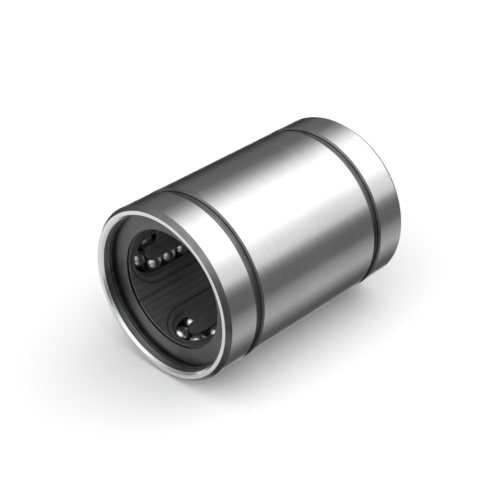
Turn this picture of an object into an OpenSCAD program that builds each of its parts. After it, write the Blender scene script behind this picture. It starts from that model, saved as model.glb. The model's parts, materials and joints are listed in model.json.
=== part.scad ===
// Linear ball bushing: a bored outer cylinder, a one-piece ball retainer, four
// recirculating ball circuits, and an end ring and a stop ring at each mouth.
// The axis lies along +Y, the near mouth faces -Y, and the origin is the centre.

/* [Envelope] */
// Diameter of the shaft that the loaded balls ride on
shaft_d = 30; // [29.9:0.1:30.1]
// Outside diameter of the outer cylinder
outer_d = 45; // [45:0.5:46]
// Overall length
length = 64; // [63:0.5:66]

/* [Ball circuits] */
// Number of recirculating circuits
circuits = 4; // [3:1:4]
// Ball diameter
ball_d = 4.7625; // [4.75:0.0125:4.775]
// Balls in each straight row
balls_per_row = 8; // [6:1:8]
// Free play that is added to the ball diameter to give the spacing in a row
ball_play = 0.0975; // [0.08:0.01:0.11]
// Radius from the bushing axis to the ball centres of a return row
return_r = 18.1; // [18.05:0.01:18.12]
// Radius of the half circle that the balls follow between the two rows
turn_r = 4.2; // [4.1:0.05:4.3]
// Outward tilt of the half circle, which keeps turning balls off the shaft
turn_tilt = 6; // [6:0.1:7]
// Angle of the first circuit about the bushing axis
first_circuit = 90.4; // [0:0.1:360]

/* [Outer cylinder] */
// Axial height of the chamfer at each end
end_chamfer = 1.2; // [0.5:0.1:1.5]
// Radial depth of the chamfer at each end
end_chamfer_depth = 0.9; // [0.4:0.1:1]
// Distance between the outer walls of the two snap-ring grooves
groove_span = 44.5; // [44:0.1:45]
// Width of a snap-ring groove at its bottom
groove_w = 1.85; // [1.6:0.05:2]
// Diameter at the bottom of a snap-ring groove
groove_d = 43; // [43:0.1:44]
// Chamfer on the edges of a snap-ring groove
groove_chamfer = 0.4; // [0.2:0.05:0.5]
// Radius of the bore that seats the rings at each mouth
seat_r = 20; // [19.95:0.01:20.05]
// Bevel of the bore's edge at the end face
mouth_bevel = 0.6; // [0.3:0.1:0.8]

/* [Retainer and rings] */
// Radius of the retainer's bore, which clears the shaft
retainer_bore_r = 15.2; // [15.15:0.01:15.25]
// Radius of the retainer's outside between its end flanges
retainer_outer_r = 19.5; // [19.3:0.1:19.6]
// Radial clearance of a ball in its straight track
track_play = 0.08; // [0.05:0.01:0.09]
// Radial clearance of a ball in the turns of its track
turn_play = 0.2; // [0.19:0.01:0.22]
// Radius of the sunk ledge around each circuit
ledge_r = 16; // [15.8:0.05:16.1]
// Half width of the sunk ledge's outline
ledge_half_w = 6.2; // [6:0.05:6.4]
// Half width of the outline groove around each circuit
outline_half_w = 7.9; // [7.6:0.1:8.1]
// Inner radius of an end ring
end_ring_bore_r = 15.3; // [15.25:0.05:15.6]
// Thickness of an end ring
end_ring_t = 0.8; // [0.7:0.05:0.9]
// Radial width of a stop ring
stop_ring_w = 1.2; // [1:0.1:1.4]
// Width of the gap between a stop ring's ends
stop_ring_gap = 4; // [3:0.5:6]

/* [Hidden] */
LOADED_NODES = [for (k = [1:circuits]) str("loaded_row_", k)];
RETURN_NODES = [for (k = [1:circuits]) str("return_row_", k)];
FRONT_NODES = [for (k = [1:circuits]) str("front_turn_", k)];
REAR_NODES = [for (k = [1:circuits]) str("rear_turn_", k)];
SHELL_NODES = ["outer_cylinder", "ball_retainer"];
RING_NODES = ["front_end_ring", "rear_end_ring", "front_stop_ring", "rear_stop_ring"];

$fn = 96;
eps = 0.01;
outer_r = outer_d / 2;
ball_r = ball_d / 2;
pitch = ball_d + ball_play;

// A loaded ball touches the shaft, and the race gives it a little play outside.
loaded_r = shaft_d / 2 + ball_r;
race_play = 0.028;
race_r = loaded_r + ball_r + race_play;
// The bore is relieved outside the loaded zone for the turning and returning balls.
relief_play = 0.17;
relief_r = return_r + ball_r + relief_play;
race_ramp = 1.5;
seat_depth = 6.2;

// Where the straight rows end and the turns begin, from either end face.
turn_z = (length - balls_per_row * pitch) / 2;
row_angle = acos((pow(loaded_r, 2) + pow(return_r, 2) - pow(2 * turn_r, 2)) / (2 * loaded_r * return_r));
loaded_xy = loaded_r * [cos(row_angle / 2), -sin(row_angle / 2)];
return_xy = return_r * [cos(row_angle / 2), sin(row_angle / 2)];
turn_xy = (loaded_xy + return_xy) / 2;
turn_heading = atan2(return_xy[1] - loaded_xy[1], return_xy[0] - loaded_xy[0]);

// How far each circuit's balls stand along the load row at rest.
rest_shift = [0.2, -1.5, 1.3, -0.8];

// The two balls of a turn stand either side of its middle, and one pitch swings them a quarter turn.
quarter_turn = 90;
turn_starts = [quarter_turn / 2, 3 * quarter_turn / 2];

// The rings stack from the groove: stop ring, end ring, retainer.
stop_groove_z = 2.5;
stop_ring_t = 1.1;
stop_groove_w = 1.2;
stop_groove_r = 20.9;
stop_gap_angle = -42;
end_ring_z = stop_groove_z + stop_groove_w;
retainer_z = end_ring_z + end_ring_t;
retainer_end_z = length - retainer_z;
ring_fit = 0.05;
ring_edge = 0.15;

// Retainer details.
track_overlap = 0.5;
track_reach = 3;
flange_t = 1;
bore_edge = 0.15;
ledge_lead = 0.3;
ledge_z = turn_z - ledge_lead;
island_half_w = 2.3;
// The bridge that carries the island covers the return row between the turns.
bridge_setback = 1.2;
bridge_z = turn_z + bridge_setback;
outline_w = 0.55;
outline_end_gap = 0.4;
outline_z = retainer_z + outline_end_gap + outline_half_w;
outline_r = 15.7;
axial_groove_angle = -37.5;
axial_groove_w = 0.5;
axial_groove_r = 15.5;

// Turns the working frame, whose axis is Z from the near face, into the part frame.
module part_frame() {
    rotate([-90, 0, 0]) translate([0, 0, -length / 2]) children();
}

// The same shape mirrored to the far end.
module far_end() {
    translate([0, 0, length]) mirror([0, 0, 1]) children();
}

module circuit_place(k) {
    rotate([0, 0, first_circuit + k * 360 / circuits]) children();
}

// The frame of a turn: origin at its centre, +X to the return row, +Y away from the rows.
module turn_place() {
    translate([turn_xy[0], turn_xy[1], turn_z])
        rotate([0, 0, turn_heading])
        rotate([-90 - turn_tilt, 0, 0])
        children();
}

module ball() {
    sphere(r = ball_r);
}

// Outline of the near half of the bored shell, from the face to the middle.
function shell_outside() = [
    [seat_r + mouth_bevel, 0],
    [outer_r - end_chamfer_depth, 0],
    [outer_r, end_chamfer],
    [outer_r, length / 2 - groove_span / 2 - groove_chamfer],
    [outer_r - groove_chamfer, length / 2 - groove_span / 2],
    [groove_d / 2, length / 2 - groove_span / 2],
    [groove_d / 2, length / 2 - groove_span / 2 + groove_w],
    [outer_r - groove_chamfer, length / 2 - groove_span / 2 + groove_w],
    [outer_r, length / 2 - groove_span / 2 + groove_w + groove_chamfer],
];

function shell_inside() = [
    [race_r, turn_z + race_ramp],
    [relief_r, turn_z],
    [relief_r, seat_depth + relief_r - seat_r],
    [seat_r, seat_depth],
    [seat_r, stop_groove_z + stop_groove_w],
    [stop_groove_r, stop_groove_z + stop_groove_w],
    [stop_groove_r, stop_groove_z],
    [seat_r, stop_groove_z],
    [seat_r, mouth_bevel],
];

function to_far_end(points) = [
    for (i = [len(points) - 1:-1:0]) [points[i][0], length - points[i][1]]
];

module outer_cylinder() {
    color("gainsboro") part_frame() difference() {
        rotate_extrude()
            polygon(concat(
                shell_outside(),
                to_far_end(shell_outside()),
                to_far_end(shell_inside()),
                shell_inside()
            ));
        for (k = [0:circuits - 1])
            circuit_place(k) return_groove();
    }
}

// The relief along a return row, as deep as the relieved ends.
module return_groove() {
    translate([return_xy[0], return_xy[1], turn_z - eps])
        cylinder(r = relief_r - return_r, h = length - 2 * turn_z + 2 * eps);
}

// Section of a ball track, with its origin at the ball centre, open towards +X.
module track_section(r) {
    circle(r = r);
    translate([0, -r]) square([r + track_reach, 2 * r]);
}

// A straight track opens the way its turns do, and runs a little way into them.
module straight_track(xy) {
    translate([xy[0], xy[1], turn_z - track_overlap])
        rotate([0, 0, turn_heading - 90])
        linear_extrude(length - 2 * turn_z + 2 * track_overlap)
        track_section(ball_r + track_play);
}

module turn_track() {
    turn_place()
        rotate_extrude(angle = 180)
        translate([turn_r, 0])
        rotate(-90)
        track_section(ball_r + turn_play);
}

// A slot outline across X and along Y: a bar between two half circles.
module slot_outline(half_w, low, high) {
    translate([0, low]) circle(r = half_w);
    translate([0, high]) circle(r = half_w);
    translate([-half_w, low]) square([2 * half_w, high - low]);
}

// The sunk ledge around a circuit, seen along the circuit's radius.
module ledge_outline() {
    difference() {
        slot_outline(ledge_half_w, ledge_z, length - ledge_z);
        slot_outline(island_half_w, turn_z, length - turn_z);
        translate([0, bridge_z]) square([2 * ledge_half_w, length - 2 * bridge_z]);
    }
}

// The fine groove that frames a circuit.
module frame_outline() {
    difference() {
        slot_outline(outline_half_w, outline_z, length - outline_z);
        slot_outline(outline_half_w - outline_w, outline_z, length - outline_z);
    }
}

// Cuts an outline into the bore, from the axis out to a radius.
module sink_to(r) {
    intersection() {
        cylinder(r = r, h = length);
        rotate([90, 0, 90]) linear_extrude(2 * r) children();
    }
}

module axial_groove() {
    rotate([0, 0, axial_groove_angle])
        translate([0, -axial_groove_w / 2, retainer_z - eps])
        cube([axial_groove_r, axial_groove_w, length - 2 * retainer_z + 2 * eps]);
}

module retainer_tube() {
    rotate_extrude()
        polygon([
            [retainer_bore_r, retainer_z + bore_edge],
            [retainer_bore_r + bore_edge, retainer_z],
            [seat_r - ring_fit, retainer_z],
            [seat_r - ring_fit, retainer_z + flange_t],
            [retainer_outer_r, retainer_z + flange_t],
            [retainer_outer_r, retainer_end_z - flange_t],
            [seat_r - ring_fit, retainer_end_z - flange_t],
            [seat_r - ring_fit, retainer_end_z],
            [retainer_bore_r + bore_edge, retainer_end_z],
            [retainer_bore_r, retainer_end_z - bore_edge]
        ]);
}

module ball_retainer() {
    color([0.16, 0.16, 0.17]) part_frame() difference() {
        retainer_tube();
        for (k = [0:circuits - 1])
            circuit_place(k) {
                sink_to(ledge_r) ledge_outline();
                sink_to(outline_r) frame_outline();
                straight_track(loaded_xy);
                straight_track(return_xy);
                turn_track();
                far_end() turn_track();
                axial_groove();
            }
    }
}

// A flat ring with broken edges, seated in the bore against the stop ring.
module end_ring() {
    color([0.5, 0.5, 0.51]) translate([0, 0, end_ring_z]) rotate_extrude() polygon([
        [end_ring_bore_r, ring_edge],
        [end_ring_bore_r + ring_edge, 0],
        [seat_r - ring_fit, 0],
        [seat_r - ring_fit, end_ring_t],
        [end_ring_bore_r, end_ring_t]
    ]);
}

module front_end_ring() {
    part_frame() end_ring();
}

module rear_end_ring() {
    part_frame() far_end() end_ring();
}

// An open spring ring that sits in the inner groove and holds the end ring.
module stop_ring() {
    color([0.22, 0.22, 0.23]) translate([0, 0, end_ring_z - stop_ring_t]) difference() {
        cylinder(r = stop_groove_r - ring_fit, h = stop_ring_t);
        translate([0, 0, -eps])
            cylinder(r = stop_groove_r - ring_fit - stop_ring_w, h = stop_ring_t + 2 * eps);
        rotate([0, 0, stop_gap_angle])
            translate([stop_groove_r - 2 * stop_ring_w, -stop_ring_gap / 2, -eps])
            cube([3 * stop_ring_w, stop_ring_gap, stop_ring_t + 2 * eps]);
    }
}

module front_stop_ring() {
    part_frame() stop_ring();
}

module rear_stop_ring() {
    part_frame() far_end() stop_ring();
}

module straight_row(k, xy, shift) {
    color("silver") part_frame() circuit_place(k)
        for (i = [0:balls_per_row - 1])
            translate([xy[0], xy[1], turn_z + (i + 0.5) * pitch + shift])
                ball();
}

module loaded_row(k) {
    straight_row(k, loaded_xy, rest_shift[k]);
}

module return_row(k) {
    straight_row(k, return_xy, -rest_shift[k]);
}

// Two balls a quarter turn apart, which swing by a quarter turn for each pitch.
module turn_balls(shift) {
    turn_place()
        for (start = turn_starts)
            rotate([0, 0, start + quarter_turn * shift / pitch])
                translate([turn_r, 0, 0])
                ball();
}

module front_turn(k) {
    color("silver") part_frame() circuit_place(k) turn_balls(rest_shift[k]);
}

module rear_turn(k) {
    color("silver") part_frame() circuit_place(k) far_end() turn_balls(-rest_shift[k]);
}

outer_cylinder();
ball_retainer();
front_end_ring();
rear_end_ring();
front_stop_ring();
rear_stop_ring();
for (k = [0:circuits - 1]) {
    loaded_row(k);
    return_row(k);
    front_turn(k);
    rear_turn(k);
}
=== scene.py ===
import json
import math

import bpy
import numpy as np
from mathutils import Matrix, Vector

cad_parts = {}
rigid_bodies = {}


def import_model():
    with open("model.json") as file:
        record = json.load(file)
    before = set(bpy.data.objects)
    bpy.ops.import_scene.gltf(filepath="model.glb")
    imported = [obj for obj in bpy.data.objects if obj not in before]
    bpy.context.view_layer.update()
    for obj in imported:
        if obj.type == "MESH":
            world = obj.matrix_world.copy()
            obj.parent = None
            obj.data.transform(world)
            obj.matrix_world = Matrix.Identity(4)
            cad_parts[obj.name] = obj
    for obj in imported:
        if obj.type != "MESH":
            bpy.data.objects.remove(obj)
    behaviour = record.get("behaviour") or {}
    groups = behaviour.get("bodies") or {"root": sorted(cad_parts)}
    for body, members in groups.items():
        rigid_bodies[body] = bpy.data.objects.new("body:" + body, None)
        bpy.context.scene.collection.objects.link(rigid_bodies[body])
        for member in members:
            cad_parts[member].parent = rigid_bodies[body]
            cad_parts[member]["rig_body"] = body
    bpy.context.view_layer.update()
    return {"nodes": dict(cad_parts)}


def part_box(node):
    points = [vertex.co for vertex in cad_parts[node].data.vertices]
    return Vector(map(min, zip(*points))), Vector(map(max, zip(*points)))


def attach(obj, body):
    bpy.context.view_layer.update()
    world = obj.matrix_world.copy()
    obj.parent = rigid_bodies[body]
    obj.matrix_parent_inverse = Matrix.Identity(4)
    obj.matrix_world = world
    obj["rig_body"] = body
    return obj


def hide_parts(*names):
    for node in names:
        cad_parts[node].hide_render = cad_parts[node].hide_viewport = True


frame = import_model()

MM = 0.001
NODES = frame["nodes"]

# ---------------------------------------------------------------- sizes, in millimetres
OUTER_R = max(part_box("outer_cylinder")[1].x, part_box("outer_cylinder")[1].z) / MM
HALF_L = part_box("outer_cylinder")[1].y / MM
SEAT_R, MOUTH_BEVEL, SEAT_DEPTH = 20.0, 0.6, 6.2
CHAMFER_H, CHAMFER_D = 1.2, 0.9
GROOVE_Z, GROOVE_W, GROOVE_R, GROOVE_CHAMFER = 9.75, 1.85, 21.5, 0.4
STOP_Z, STOP_W, STOP_R, STOP_T, STOP_WIDTH, STOP_GAP = 2.5, 1.2, 20.9, 1.1, 1.2, 4.0
RACE_R, RELIEF_R, RACE_RAMP, TURN_Z = 19.79, 20.651, 1.5, 12.56
RELIEF_ROUNDING = 0.5
RING_BORE_R, RING_T, RING_EDGE, RING_FIT = 15.3, 0.8, 0.15, 0.05
STOP_GAP_AT = math.radians(42)
BALL_R = 4.7625 / 2

GROUND, TURNED, GROOVED = 0, 1, 2


# ---------------------------------------------------------------- mesh helpers
def outline(corners, steps=4):
    """A closed outline with rounded corners. corners are (r, y, rounding, finish of the edge that follows),
    anticlockwise. Gives rows of (r, y, normal r, normal y, finish)."""
    rows = []
    count = len(corners)
    for i, (r, y, rounding, finish) in enumerate(corners):
        before, here, after = (np.array(corners[j % count][:2], float) for j in (i - 1, i, i + 1))
        a, b = here - before, after - here
        la, lb = np.linalg.norm(a), np.linalg.norm(b)
        a, b = a / la, b / lb
        turn = math.atan2(a[0] * b[1] - a[1] * b[0], a @ b)
        reach = min(rounding * math.tan(abs(turn) / 2), 0.45 * la, 0.45 * lb)
        radius = reach / math.tan(abs(turn) / 2)
        side = math.copysign(1.0, turn)
        start = here - a * reach
        centre = start + np.array([-a[1], a[0]]) * radius * side
        worse = max(finish, corners[i - 1][3])
        for s in range(steps + 1):
            angle = turn * s / steps
            spoke = start - centre
            c, n = math.cos(angle), math.sin(angle)
            spin = np.array([c * spoke[0] - n * spoke[1], n * spoke[0] + c * spoke[1]])
            point = centre + spin
            out = spin / radius * side
            rows.append((point[0], point[1], out[0], out[1], finish if s == steps else worse))
    return rows


def divided(rows, longest=3.0):
    """Puts points along the long straight edges of an outline."""
    out = []
    for i, row in enumerate(rows):
        nxt = rows[(i + 1) % len(rows)]
        out.append(row)
        gap = math.dist(row[:2], nxt[:2])
        parts = max(1, math.ceil(gap / longest))
        for k in range(1, parts):
            f = k / parts
            at = [row[j] + (nxt[j] - row[j]) * f for j in range(4)]
            size = math.hypot(at[2], at[3])
            out.append((at[0], at[1], at[2] / size, at[3] / size, row[4]))
    return out


def make_mesh(name, verts, faces, normals, finishes=None):
    """A smooth mesh with its exact normals. verts are in millimetres."""
    mesh = bpy.data.meshes.new(name)
    mesh.from_pydata([tuple(v) for v in np.asarray(verts) * MM], [], faces)
    mesh.polygons.foreach_set("use_smooth", [True] * len(mesh.polygons))
    if finishes is not None:
        mesh.polygons.foreach_set("material_index", finishes)
    mesh.update()
    if normals is not None:
        mesh.normals_split_custom_set_from_vertices([tuple(n) for n in normals])
    ob = bpy.data.objects.new(name, mesh)
    bpy.context.scene.collection.objects.link(ob)
    return ob


def lathe(name, rows, angles, hollow=None):
    """Turns an outline round the Y axis. hollow(angle, y) may push the bore's surface outwards: it gives a
    radius and a slope, or None."""
    n, m = len(rows), len(angles)
    verts, normals = [], []
    for angle in angles:
        c, s = math.cos(angle), math.sin(angle)
        for r, y, nr, ny, _ in rows:
            out = (nr * c, ny, nr * s)
            if hollow and nr < 0:
                deep = hollow(angle, y)
                if deep and deep[0] > r:
                    r, tilt = deep
                    size = math.hypot(1.0, tilt)
                    out = ((-c - tilt * s) / size, 0.0, (-s + tilt * c) / size)
            verts.append((r * c, y, r * s))
            normals.append(out)
    faces, finishes = [], []
    for j in range(m):
        k = (j + 1) % m
        for i in range(n):
            h = (i + 1) % n
            faces.append((j * n + i, j * n + h, k * n + h, k * n + i))
            finishes.append(rows[i][4])
    return make_mesh(name, verts, faces, normals, finishes)


def around(count, extra=()):
    """Evenly spaced angles and some extra ones, in order."""
    even = [2 * math.pi * i / count for i in range(count)]
    more = [a % (2 * math.pi) for a in extra]
    kept = [a for a in even if all(abs(a - b) > 0.002 for b in more)]
    return sorted(kept + more)


def mirrored(corners, closing=TURNED):
    """Part of an outline at the other end of the bushing, in reverse. closing is the finish of its last
    edge."""
    out = []
    for i in range(len(corners) - 1, -1, -1):
        r, y, rounding, _ = corners[i]
        out.append((r, -y, rounding, corners[i - 1][3] if i else closing))
    return out


# ---------------------------------------------------------------- outer cylinder
def ball_centres(node):
    """Centres of a node's balls, in millimetres, found from its loose parts."""
    mesh = NODES[node].data
    co = np.empty(len(mesh.vertices) * 3)
    mesh.vertices.foreach_get("co", co)
    co = co.reshape(-1, 3) / MM
    _, welded = np.unique(np.round(co, 4), axis=0, return_inverse=True)
    welded = welded.ravel()
    edges = np.empty(len(mesh.edges) * 2, int)
    mesh.edges.foreach_get("vertices", edges)
    a, b = welded[edges.reshape(-1, 2)].T
    label = np.arange(welded.max() + 1)
    while True:
        low = np.minimum(label[a], label[b])
        new = label.copy()
        np.minimum.at(new, a, low)
        np.minimum.at(new, b, low)
        if (new == label).all():
            break
        label = new
    part = label[welded]
    centres = [(co[part == p].min(0) + co[part == p].max(0)) / 2 for p in np.unique(part)]
    return sorted(centres, key=lambda c: tuple(np.round((c[1], c[0], c[2]), 3)))


CIRCUITS = sorted(int(n.rsplit("_", 1)[1]) for n in NODES if n.startswith("loaded_row_"))
RETURN_LINES = [ball_centres(f"return_row_{k}")[0] for k in CIRCUITS]
RETURN_AT = [(math.hypot(c[0], c[2]), math.atan2(c[2], c[0])) for c in RETURN_LINES]


def return_groove(angle, y):
    """Radius and slope of the bore's return grooves at an angle."""
    if abs(y) > HALF_L - TURN_Z + RELIEF_ROUNDING:
        return None
    for centre_r, centre_angle in RETURN_AT:
        d = (angle - centre_angle + math.pi) % (2 * math.pi) - math.pi
        groove_r = RELIEF_R - centre_r
        side = centre_r * math.sin(d)
        if math.cos(d) > 0 and abs(side) < groove_r:
            root = math.sqrt(groove_r**2 - side**2)
            r = centre_r * math.cos(d) + root
            slope = -side - side * centre_r * math.cos(d) / root
            return r, slope / r
    return None


def outer_cylinder():
    g0, g1 = GROOVE_Z - HALF_L, GROOVE_Z + GROOVE_W - HALF_L
    outside = [
        (SEAT_R + MOUTH_BEVEL, -HALF_L, 0.12, GROUND),
        (OUTER_R - CHAMFER_D, -HALF_L, 0.15, GROOVED),
        (OUTER_R, CHAMFER_H - HALF_L, 0.3, GROUND),
        (OUTER_R, g0 - GROOVE_CHAMFER, 0.12, GROOVED),
        (OUTER_R - GROOVE_CHAMFER, g0, 0.1, GROOVED),
        (GROOVE_R, g0, 0.25, GROOVED),
        (GROOVE_R, g1, 0.25, GROOVED),
        (OUTER_R - GROOVE_CHAMFER, g1, 0.1, GROOVED),
        (OUTER_R, g1 + GROOVE_CHAMFER, 0.12, GROUND),
    ]
    inside = [
        (RACE_R, TURN_Z + RACE_RAMP - HALF_L, RELIEF_ROUNDING, TURNED),
        (RELIEF_R, TURN_Z - HALF_L, RELIEF_ROUNDING, TURNED),
        (RELIEF_R, SEAT_DEPTH + RELIEF_R - SEAT_R - HALF_L, 0.2, TURNED),
        (SEAT_R, SEAT_DEPTH - HALF_L, 0.1, TURNED),
        (SEAT_R, STOP_Z + STOP_W - HALF_L, 0.08, GROOVED),
        (STOP_R, STOP_Z + STOP_W - HALF_L, 0.1, GROOVED),
        (STOP_R, STOP_Z - HALF_L, 0.1, GROOVED),
        (SEAT_R, STOP_Z - HALF_L, 0.08, GROUND),
        (SEAT_R, MOUTH_BEVEL - HALF_L, 0.2, GROUND),
    ]
    rows = divided(outline(outside + mirrored(outside) + mirrored(inside) + inside))
    edges = []
    for centre_r, centre_angle in RETURN_AT:
        groove_r = RELIEF_R - centre_r
        bite = math.acos((RACE_R**2 + centre_r**2 - groove_r**2) / (2 * RACE_R * centre_r))
        edges += [centre_angle - bite, centre_angle + bite]
    return lathe("shell_of_ground_steel", rows, around(360, edges), return_groove)


# ---------------------------------------------------------------- rings at the mouths
def end_ring(name, side):
    z = STOP_Z + STOP_W
    near, far = z - HALF_L, z + RING_T - HALF_L
    outer = SEAT_R - RING_FIT
    corners = [
        (RING_BORE_R, near + RING_EDGE, 0.1, GROUND),
        (RING_BORE_R + RING_EDGE, near, 0.1, GROUND),
        (outer, near, 0.12, GROUND),
        (outer, far, 0.12, GROUND),
        (RING_BORE_R, far, 0.12, GROUND),
    ]
    if side > 0:
        corners = mirrored(corners, GROUND)
    return lathe(name, divided(outline(corners)), around(300))


def stop_ring(name, side):
    """An open spring ring with a rectangular section, rounded edges and rounded tips."""
    near, far = STOP_Z + STOP_W - STOP_T - HALF_L, STOP_Z + STOP_W - HALF_L
    outer, inner = STOP_R - RING_FIT, STOP_R - RING_FIT - STOP_WIDTH
    corners = [(inner, near, 0.18, 0), (outer, near, 0.18, 0), (outer, far, 0.18, 0), (inner, far, 0.18, 0)]
    if side > 0:
        corners = mirrored(corners, GROUND)
    rows = divided(outline(corners))
    middle = np.array([(inner + outer) / 2, (near + far) / 2 * -side])
    half_gap = STOP_GAP / 2 / middle[0]
    tip = 0.18 / middle[0]
    # each tip closes in over a few stations, like a filed end
    closing = [(tip * (1 - math.cos(t)), 0.55 + 0.45 * math.sin(t)) for t in np.linspace(0, math.pi / 2, 5)]
    body = np.linspace(0, 1, 340)
    first, last = STOP_GAP_AT + half_gap, STOP_GAP_AT + 2 * math.pi - half_gap
    stations = [(first + d, k) for d, k in closing[:-1]]
    stations += [(first + tip + (last - first - 2 * tip) * f, 1.0) for f in body]
    stations += [(last - d, k) for d, k in reversed(closing[:-1])]
    verts = []
    n = len(rows)
    for angle, scale in stations:
        c, s = math.cos(angle), math.sin(angle)
        for r, y, *_ in rows:
            r, y = middle + (np.array([r, y]) - middle) * scale
            verts.append((r * c, y, r * s))
    faces = []
    for j in range(len(stations) - 1):
        for i in range(n):
            h = (i + 1) % n
            faces.append((j * n + i, j * n + h, (j + 1) * n + h, (j + 1) * n + i))
    faces.append(tuple(range(n - 1, -1, -1)))
    faces.append(tuple((len(stations) - 1) * n + i for i in range(n)))
    ob = make_mesh(name, verts, faces, None)
    ob.data.set_sharp_from_angle(angle=math.radians(40))
    return ob


# ---------------------------------------------------------------- balls
def unit_ball(n=14):
    """A sphere of quads, even all round, as (points, faces)."""
    points, faces, index = [], [], {}
    steps = [math.tan(math.radians(-45 + 90 * i / n)) for i in range(n + 1)]
    for axis in range(3):
        for sign in (-1, 1):
            grid = {}
            for i, u in enumerate(steps):
                for j, v in enumerate(steps):
                    p = [0.0, 0.0, 0.0]
                    p[axis], p[(axis + 1) % 3], p[(axis + 2) % 3] = sign, u * sign, v
                    p = np.array(p) / math.sqrt(1 + u * u + v * v)
                    key = tuple(np.round(p, 6))
                    if key not in index:
                        index[key] = len(points)
                        points.append(p)
                    grid[i, j] = index[key]
            faces += [
                (grid[i, j], grid[i + 1, j], grid[i + 1, j + 1], grid[i, j + 1])
                for i in range(n)
                for j in range(n)
            ]
    return np.array(points), faces


UNIT = unit_ball()


def balls(name, node):
    points, faces = UNIT
    verts, all_faces, normals = [], [], []
    for centre in ball_centres(node):
        base = len(verts)
        verts += list(points * BALL_R + centre)
        normals += list(points)
        all_faces += [tuple(base + i for i in f) for f in faces]
    return make_mesh(name, verts, all_faces, normals)


# ---------------------------------------------------------------- node helpers
class Look:
    """A material on one Principled shader, with short calls to add nodes."""

    def __init__(self, name, **constants):
        self.material = bpy.data.materials.new(name)
        self.material.use_nodes = True
        self.tree = self.material.node_tree
        self.shader = self.tree.nodes["Principled BSDF"]
        for key, value in constants.items():
            self.shader.inputs[key.replace("_", " ")].default_value = value
        self.place = self.add("ShaderNodeTexCoord").outputs["Object"]

    def add(self, kind, **settings):
        node = self.tree.nodes.new(kind)
        for key, value in settings.items():
            setattr(node, key, value)
        return node

    def feed(self, socket, value):
        if isinstance(value, bpy.types.NodeSocket):
            self.tree.links.new(value, socket)
        else:
            socket.default_value = value

    def sum(self, operation, *values):
        node = self.add("ShaderNodeMath", operation=operation)
        for socket, value in zip(node.inputs, values):
            self.feed(socket, value)
        return node.outputs[0]

    def scaled(self, x, y, z):
        node = self.add("ShaderNodeVectorMath", operation="MULTIPLY")
        self.feed(node.inputs[0], self.place)
        node.inputs[1].default_value = (x, y, z)
        return node.outputs[0]

    def noise(self, vector, scale=1.0, detail=3.0, roughness=0.5):
        node = self.add("ShaderNodeTexNoise")
        self.feed(node.inputs["Vector"], vector)
        node.inputs["Scale"].default_value = scale
        node.inputs["Detail"].default_value = detail
        node.inputs["Roughness"].default_value = roughness
        return node.outputs["Fac"]

    def remap(self, value, low, high, from_low=0.3, from_high=0.7):
        node = self.add("ShaderNodeMapRange")
        self.feed(node.inputs["Value"], value)
        limits = (("From Min", from_low), ("From Max", from_high), ("To Min", low), ("To Max", high))
        for key, number in limits:
            self.feed(node.inputs[key], number)
        return node.outputs["Result"]

    def grey(self, value):
        node = self.add("ShaderNodeCombineColor")
        for socket in node.inputs:
            self.feed(socket, value)
        return node.outputs[0]

    def bump(self, height, strength, distance, below=None):
        node = self.add("ShaderNodeBump")
        node.inputs["Strength"].default_value = strength
        node.inputs["Distance"].default_value = distance
        self.feed(node.inputs["Height"], height)
        if below is not None:
            self.feed(node.inputs["Normal"], below)
        return node.outputs["Normal"]

    def finish(self, colour=None, roughness=None, normal=None):
        for key, value in (("Base Color", colour), ("Roughness", roughness), ("Normal", normal)):
            if value is not None:
                self.feed(self.shader.inputs[key], value)
        return self.material


# ---------------------------------------------------------------- materials
def ground_steel():
    """Hardened steel, ground round its axis, on the outside and in the mouth."""
    look = Look("ground_steel", Metallic=1.0)
    lines = look.noise(look.scaled(55, 2600, 55), detail=4)
    bands = look.noise(look.scaled(30, 420, 30), detail=2)
    cloud = look.noise(look.place, scale=70, detail=2)
    rough = look.sum("ADD", look.remap(lines, 0.15, 0.21), look.remap(bands, -0.015, 0.02))
    tone = look.sum("ADD", look.remap(cloud, 0.6, 0.66), look.remap(lines, -0.02, 0.02))
    return look.finish(look.grey(tone), rough, look.bump(lines, 0.12, 0.00002))


def turned_steel():
    """Unground steel with fine turning marks, on the bore's inside."""
    look = Look("turned_steel", Metallic=1.0)
    marks = look.noise(look.scaled(40, 3800, 40), detail=2)
    cloud = look.noise(look.place, scale=160, detail=3)
    tone = look.remap(cloud, 0.36, 0.46)
    rough = look.remap(marks, 0.24, 0.36)
    return look.finish(look.grey(tone), rough, look.bump(marks, 0.2, 0.00003))


def groove_steel():
    """The dark scale that heat treatment leaves in the grooves and on the end chamfers."""
    look = Look("groove_steel", Metallic=1.0)
    cloud = look.noise(look.place, scale=220, detail=4)
    marks = look.noise(look.scaled(40, 3000, 40), detail=2)
    tone = look.remap(cloud, 0.13, 0.2)
    return look.finish(look.grey(tone), look.remap(marks, 0.32, 0.48), look.bump(marks, 0.2, 0.00003))


def ball_steel():
    """Polished bearing steel with the haze of use."""
    look = Look("ball_steel", Metallic=1.0)
    haze = look.noise(look.place, scale=700, detail=3)
    fine = look.noise(look.place, scale=5000, detail=2)
    return look.finish(look.grey(look.remap(haze, 0.6, 0.68)), look.remap(haze, 0.26, 0.34),
                       look.bump(fine, 0.04, 0.00001))


def moulded_resin():
    """The retainer's dark moulded resin, with faint drawing lines along the bore."""
    look = Look("moulded_resin", Metallic=0.0, IOR=1.5)
    grain = look.noise(look.place, scale=2600, detail=3)
    drawn = look.noise(look.scaled(1400, 30, 1400), detail=3)
    cloud = look.noise(look.place, scale=120, detail=2)
    tone = look.sum("ADD", look.remap(cloud, 0.075, 0.095), look.remap(drawn, -0.016, 0.018))
    rough = look.sum("ADD", look.remap(drawn, 0.3, 0.42), look.remap(grain, -0.03, 0.03))
    normal = look.bump(grain, 0.12, 0.00002, look.bump(drawn, 0.25, 0.00004))
    return look.finish(look.grey(tone), rough, normal)


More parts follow.
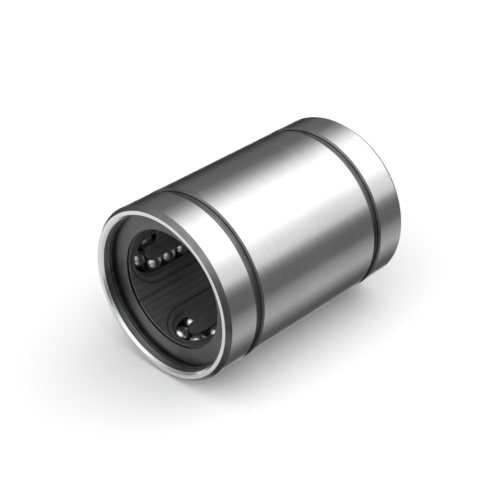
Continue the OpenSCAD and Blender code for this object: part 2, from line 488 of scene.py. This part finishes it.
def ring_finish():
    """The end rings' dark satin finish, with faint face-turning circles."""
    look = Look("ring_finish", Metallic=1.0)
    split = look.add("ShaderNodeSeparateXYZ")
    look.feed(split.inputs[0], look.place)
    radius = look.sum("SQRT", look.sum("ADD", look.sum("POWER", split.outputs[0], 2.0),
                                       look.sum("POWER", split.outputs[2], 2.0)))
    circle = look.add("ShaderNodeCombineXYZ")
    look.feed(circle.inputs[0], look.sum("MULTIPLY", radius, 5000.0))
    rings = look.noise(circle.outputs[0], detail=1)
    cloud = look.noise(look.place, scale=260, detail=3)
    tone = look.sum("ADD", look.remap(cloud, 0.09, 0.12), look.remap(rings, -0.008, 0.008))
    return look.finish(look.grey(tone), look.remap(cloud, 0.3, 0.38), look.bump(rings, 0.12, 0.00003))


def spring_finish():
    """Blackened spring steel."""
    look = Look("spring_finish", Metallic=1.0)
    cloud = look.noise(look.place, scale=420, detail=4)
    return look.finish(look.grey(look.remap(cloud, 0.05, 0.09)), look.remap(cloud, 0.34, 0.46),
                       look.bump(cloud, 0.1, 0.00003))


# ---------------------------------------------------------------- pieces on their bodies
def place(ob, node, materials):
    for material in materials:
        ob.data.materials.append(material)
    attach(ob, NODES[node]["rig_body"])
    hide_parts(node)


GROUND_STEEL, TURNED_STEEL, GROOVE_STEEL = ground_steel(), turned_steel(), groove_steel()
place(outer_cylinder(), "outer_cylinder", [GROUND_STEEL, TURNED_STEEL, GROOVE_STEEL])

RING_FINISH, SPRING_FINISH, BALL_STEEL = ring_finish(), spring_finish(), ball_steel()
for end, side in (("front", -1), ("rear", 1)):
    place(end_ring(f"{end}_washer", side), f"{end}_end_ring", [RING_FINISH])
    place(stop_ring(f"{end}_spring_clip", side), f"{end}_stop_ring", [SPRING_FINISH])

for k in CIRCUITS:
    for group in ("loaded_row", "return_row", "front_turn", "rear_turn"):
        place(balls(f"{group}_balls_{k}", f"{group}_{k}"), f"{group}_{k}", [BALL_STEEL])

retainer = NODES["ball_retainer"]
retainer.data.materials.clear()
retainer.data.materials.append(moulded_resin())


# ---------------------------------------------------------------- floor, backdrop and light
def emission(name, strength):
    """A plain light-giving material."""
    material = bpy.data.materials.new(name)
    material.use_nodes = True
    tree = material.node_tree
    tree.nodes.clear()
    light = tree.nodes.new("ShaderNodeEmission")
    out = tree.nodes.new("ShaderNodeOutputMaterial")
    tree.links.new(light.outputs[0], out.inputs[0])
    if strength is None:
        glow = tree.nodes.new("ShaderNodeAttribute")
        glow.attribute_name = "glow"
        tree.links.new(glow.outputs["Fac"], light.inputs["Strength"])
    else:
        light.inputs["Strength"].default_value = strength
    return material


def sees(ob, camera=False, diffuse=False, glossy=False, shadow=False):
    """Which rays meet a studio piece."""
    ob.visible_camera, ob.visible_diffuse, ob.visible_glossy = camera, diffuse, glossy
    ob.visible_shadow, ob.visible_transmission, ob.visible_volume_scatter = shadow, False, False


def studio_mesh(name, verts, faces, material, glow=None):
    mesh = bpy.data.meshes.new(name)
    mesh.from_pydata(verts, [], faces)
    if glow is not None:
        mesh.attributes.new("glow", "FLOAT", "POINT").data.foreach_set("value", glow)
    mesh.materials.append(material)
    ob = bpy.data.objects.new(name, mesh)
    bpy.context.scene.collection.objects.link(ob)
    return ob


FLOOR_Z = -OUTER_R * MM

# The light tent is a half cylinder along the bushing, in a rear and a front half that meet at y = 0.
# Its sizes are in metres. Each row is (angle above the +X side, radiance).
TENT_R, TENT_L, TENT_STEPS = 1.2, 5.0, 94
REAR_TENT = [
    (-3, 0.15), (8, 0.35), (15, 0.95), (35, 1.2), (55, 2.0), (90, 1.9), (110, 1.1), (125, 0.45), (140, 0.18),
    (165, 0.16), (183, 0.05),
]
FRONT_TENT = [
    (-3, 0.2), (12, 0.35), (30, 0.8), (50, 1.4), (80, 1.8), (110, 1.6), (130, 0.9), (150, 0.45), (183, 0.3),
]


def glowing_sheet(name, points, glow, low, high):
    """A sheet along the bushing through (x, z) points, with a radiance at each, seen in reflections."""
    verts = [(x, y, z) for x, z in points for y in (low, high)]
    faces = [(2 * i, 2 * i + 1, 2 * i + 3, 2 * i + 2) for i in range(len(points) - 1)]
    values = [float(g) for g in glow for _ in range(2)]
    return studio_mesh(name, verts, faces, emission(name + "_light", None), values)


def tent_half(name, table, low, high):
    angles = np.linspace(table[0][0], table[-1][0], TENT_STEPS)
    glow = np.interp(angles, [a for a, _ in table], [g for _, g in table])
    points = [(TENT_R * math.cos(a), TENT_R * math.sin(a)) for a in np.radians(angles)]
    sees(glowing_sheet(name, points, glow, low, high), diffuse=True, glossy=True)


tent_half("rear_tent", REAR_TENT, 0, TENT_L / 2)
tent_half("front_tent", FRONT_TENT, -TENT_L / 2, 0)


def plane(name, x0, x1, y0, y1, z, material):
    return studio_mesh(name, [(x0, y0, z), (x1, y0, z), (x1, y1, z), (x0, y1, z)], [(0, 1, 2, 3)], material)


def floor_material():
    look = Look("pale_floor", Metallic=0.0)
    cloud = look.noise(look.place, scale=9, detail=2)
    look.shader.inputs["Specular IOR Level"].default_value = 0.1
    return look.finish(look.grey(look.remap(cloud, 0.9, 0.92)), look.remap(cloud, 0.85, 0.9))


# The floor stays under the tent, so that all of it is lit.
FLOOR_X, FLOOR_Y = 1.15, 2
floor = plane("floor", -FLOOR_X, FLOOR_X, -FLOOR_Y, FLOOR_Y, FLOOR_Z, floor_material())
sees(floor, camera=True, diffuse=True, glossy=True, shadow=True)

# A backdrop that only the camera sees. It starts below the floor, to close the gap at the horizon.
WALL, BACKDROP_DROP, BACKDROP_TOP = 3, 0.2, 3.0
corners = ((-WALL, -WALL), (WALL, -WALL), (WALL, WALL), (-WALL, WALL))
backdrop = studio_mesh(
    "backdrop",
    [(x, y, z) for z in (FLOOR_Z - BACKDROP_DROP, BACKDROP_TOP) for x, y in corners],
    [(0, 1, 5, 4), (1, 2, 6, 5), (2, 3, 7, 6), (3, 0, 4, 7), (4, 5, 6, 7)],
    emission("backdrop_light", 0.98),
)
sees(backdrop, camera=True)

# Glowing sheets just above the floor that paint the floor's reflection in the steel beside the bushing:
# painted shadow under the bushing, a painted light band beside it, painted shade further out, and painted
# shade all along the left, as (x in millimetres, radiance).
CARD_LIFT, CARD_END = 0.0002, 2.5
NEAR_FLOOR_PAINTED_REFLECTION = [(15, 0.1), (22, 0.12), (35, 0.55), (50, 0.42), (80, 0.17), (1200, 0.17)]
LEFT_FLOOR_PAINTED_SHADE = [(-1200, 0.05), (-100, 0.05)]
# These sheets are seen only in reflections, where they cover the evenly lit floor with painted shade and
# painted light.
for name, table, low in (("near_painted_reflection_card", NEAR_FLOOR_PAINTED_REFLECTION, -CARD_END), ("left_painted_shade_card", LEFT_FLOOR_PAINTED_SHADE, -HALF_L * MM)):
    line = [(x * MM, FLOOR_Z + CARD_LIFT) for x, _ in table]
    sees(glowing_sheet(name, line, [g for _, g in table], low, CARD_END), glossy=True)

# A soft light that closes the tent in front of the near mouth.
FRONT_X, FRONT_TOP, FRONT_Y = 1.1, 1.0, -TENT_L / 2
front = studio_mesh(
    "front_fill",
    [(x, FRONT_Y, z) for x, z in (
        (-FRONT_X, FLOOR_Z), (FRONT_X, FLOOR_Z), (FRONT_X, FRONT_TOP), (-FRONT_X, FRONT_TOP),
    )],
    [(0, 1, 2, 3)],
    emission("front_light", 1.4),
)
sees(front, diffuse=True, glossy=True)

world = bpy.data.worlds.new("studio")
bpy.context.scene.world = world
world.use_nodes = True
world.node_tree.nodes["Background"].inputs["Color"].default_value = (1, 1, 1, 1)
world.node_tree.nodes["Background"].inputs["Strength"].default_value = 0.12

# ---------------------------------------------------------------- camera
# Distance back from the origin, and shifts left and down, in millimetres.
AZIMUTH, ELEVATION = math.radians(43.2), math.radians(32.2)
DISTANCE, LEFT_SHIFT, DOWN_SHIFT = 338.46, 0.65, 1.58
BACK = Vector((math.sin(AZIMUTH) * math.cos(ELEVATION), -math.cos(AZIMUTH) * math.cos(ELEVATION),
               math.sin(ELEVATION)))
RIGHT = Vector((math.cos(AZIMUTH), math.sin(AZIMUTH), 0))
camera_data = bpy.data.cameras.new("camera")
camera_data.lens, camera_data.sensor_width = 98.1, 36.0
camera_data.clip_start, camera_data.clip_end = 0.01, 20.0
camera = bpy.data.objects.new("camera", camera_data)
bpy.context.scene.collection.objects.link(camera)
camera.location = (BACK * DISTANCE - RIGHT * LEFT_SHIFT - BACK.cross(RIGHT) * DOWN_SHIFT) * MM
camera.rotation_mode = "QUATERNION"
camera.rotation_quaternion = (-BACK).to_track_quat("-Z", "Y")
bpy.context.scene.camera = camera
bpy.context.scene.view_settings.view_transform = "Standard"
